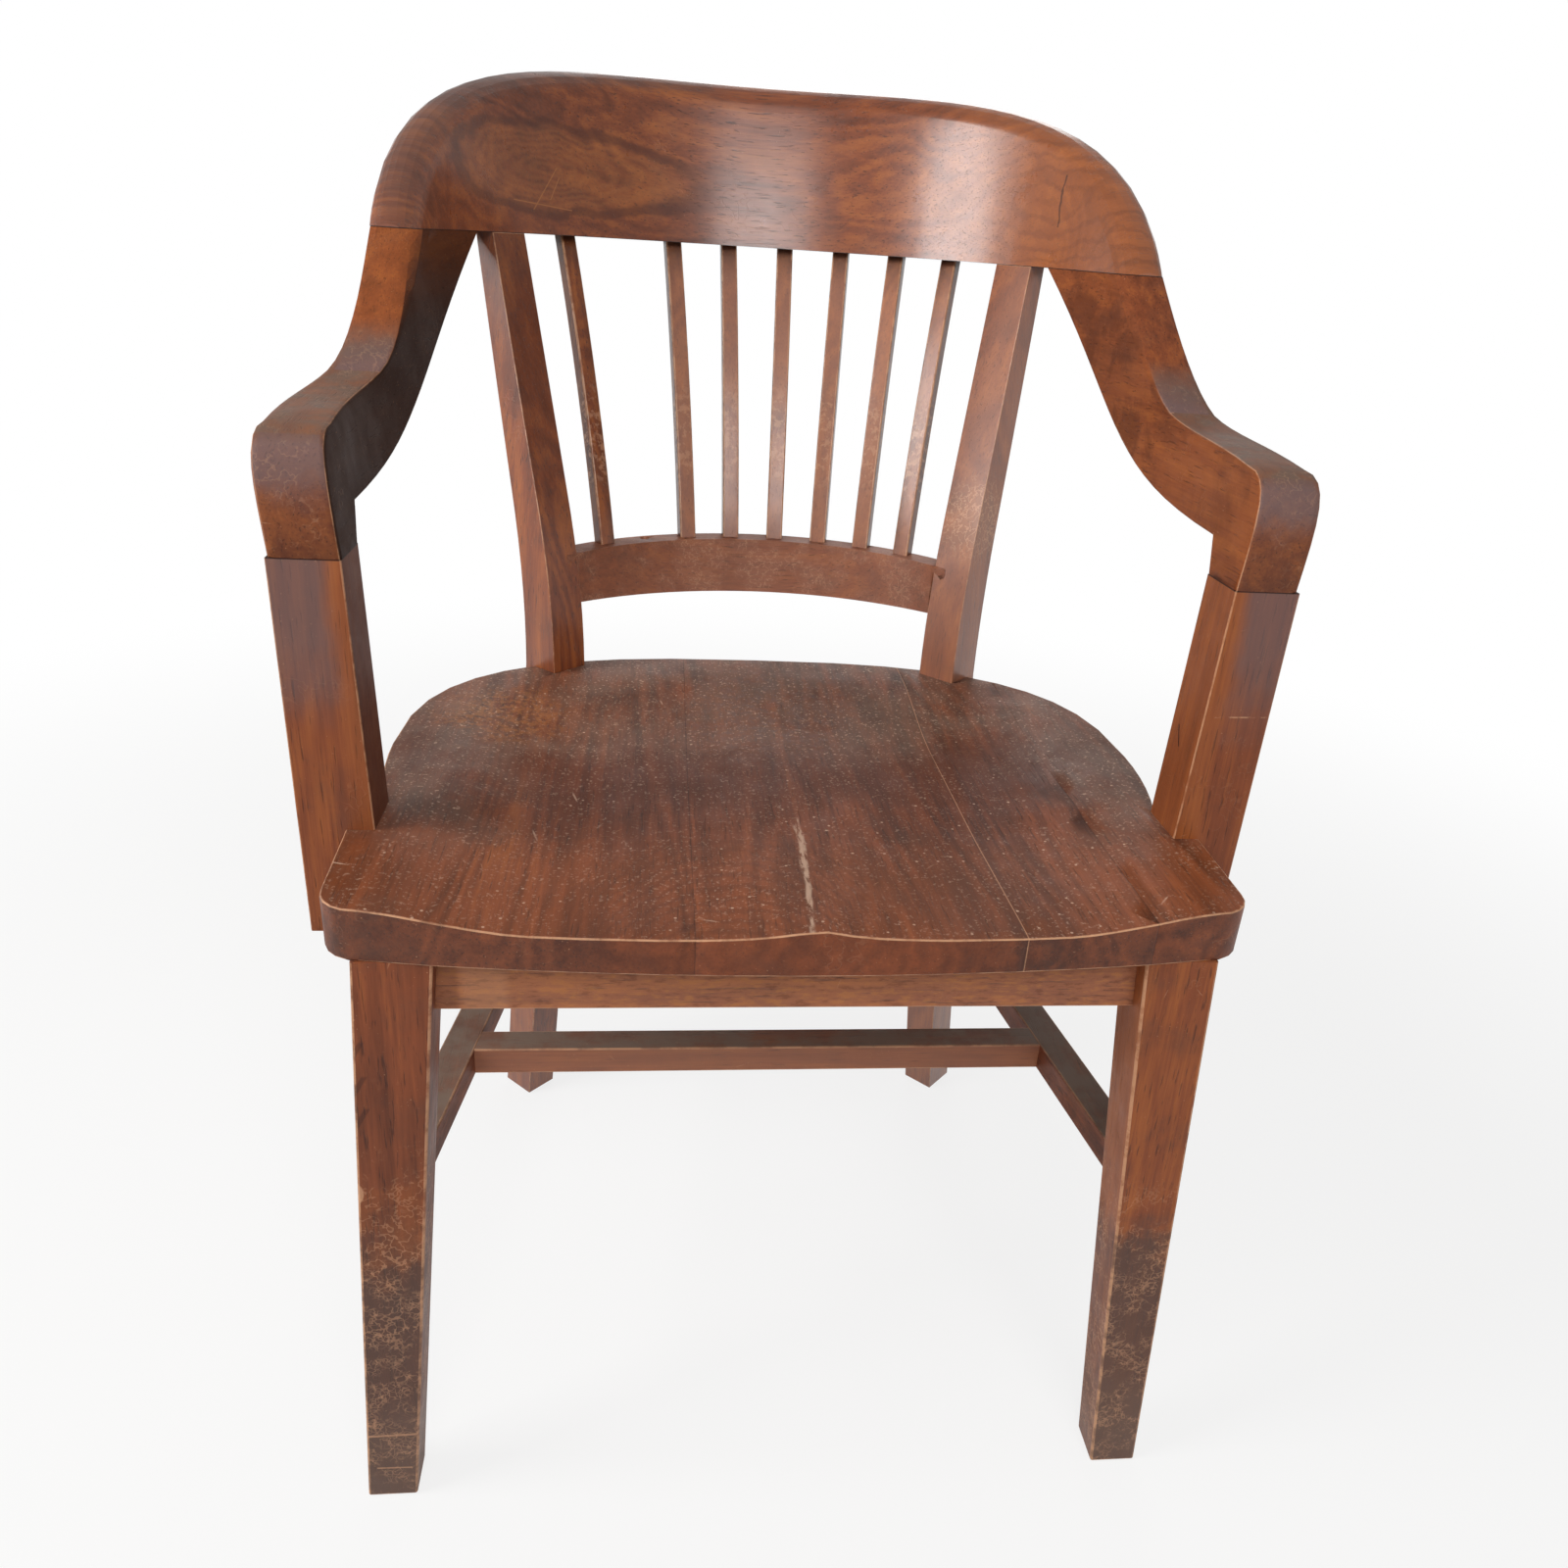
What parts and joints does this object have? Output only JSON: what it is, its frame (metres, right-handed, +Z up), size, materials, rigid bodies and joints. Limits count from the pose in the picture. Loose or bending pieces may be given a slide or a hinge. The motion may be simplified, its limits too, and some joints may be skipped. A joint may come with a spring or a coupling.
{
  "type": "bankers armchair",
  "caption": "Wooden office armchair with a dished saddle seat, a horseshoe crest rail over flat slats, sawn arms on square posts, and tapered legs joined by low stretchers.",
  "frame": {"origin": "on the floor, in the middle of the bounding box in x and y", "axes": "+Z up, -Y towards the front of the chair, +X to the right of the picture"},
  "size_m": [0.5988, 0.6706, 0.897],
  "materials": {
    "stained_wood": "reddish-brown stain under worn varnish",
    "seat_wood": "dark brown stain, dusty and rubbed",
    "dark_wood": "dark brown stain, dull",
    "bare_wood": "unstained",
    "steel": "plain"
  },
  "bodies": {
    "root": {"crest_rail": "stained_wood", "arm_left": "stained_wood", "arm_right": "stained_wood", "arm_post_left": "stained_wood", "arm_post_right": "stained_wood", "seat_board_1": "seat_wood", "seat_board_2": "seat_wood", "seat_board_3": "seat_wood", "seat_board_4": "seat_wood", "back_post_left": "stained_wood", "back_post_right": "stained_wood", "lower_back_rail": "stained_wood", "spindle_1": "stained_wood", "spindle_3": "stained_wood", "spindle_4": "stained_wood", "spindle_5": "stained_wood", "spindle_6": "stained_wood", "spindle_7": "stained_wood", "spindle_8": "stained_wood", "front_leg_left": "stained_wood", "front_leg_right": "stained_wood", "front_apron": "stained_wood", "rear_apron": "dark_wood", "side_apron_left": "dark_wood", "side_apron_right": "dark_wood", "side_stretcher_left": "dark_wood", "side_stretcher_right": "dark_wood", "cross_stretcher": "dark_wood", "corner_block_front_left": "bare_wood", "corner_block_front_right": "bare_wood", "corner_block_rear_left": "bare_wood", "corner_block_rear_right": "bare_wood", "crest_dowels": "bare_wood", "arm_dowels": "bare_wood", "back_post_dowels": "bare_wood", "rail_dowels": "bare_wood", "apron_dowels": "bare_wood", "seat_screws": "steel", "corner_block_screws": "steel", "arm_post_screws": "steel"}
  },
  "joints": []
}
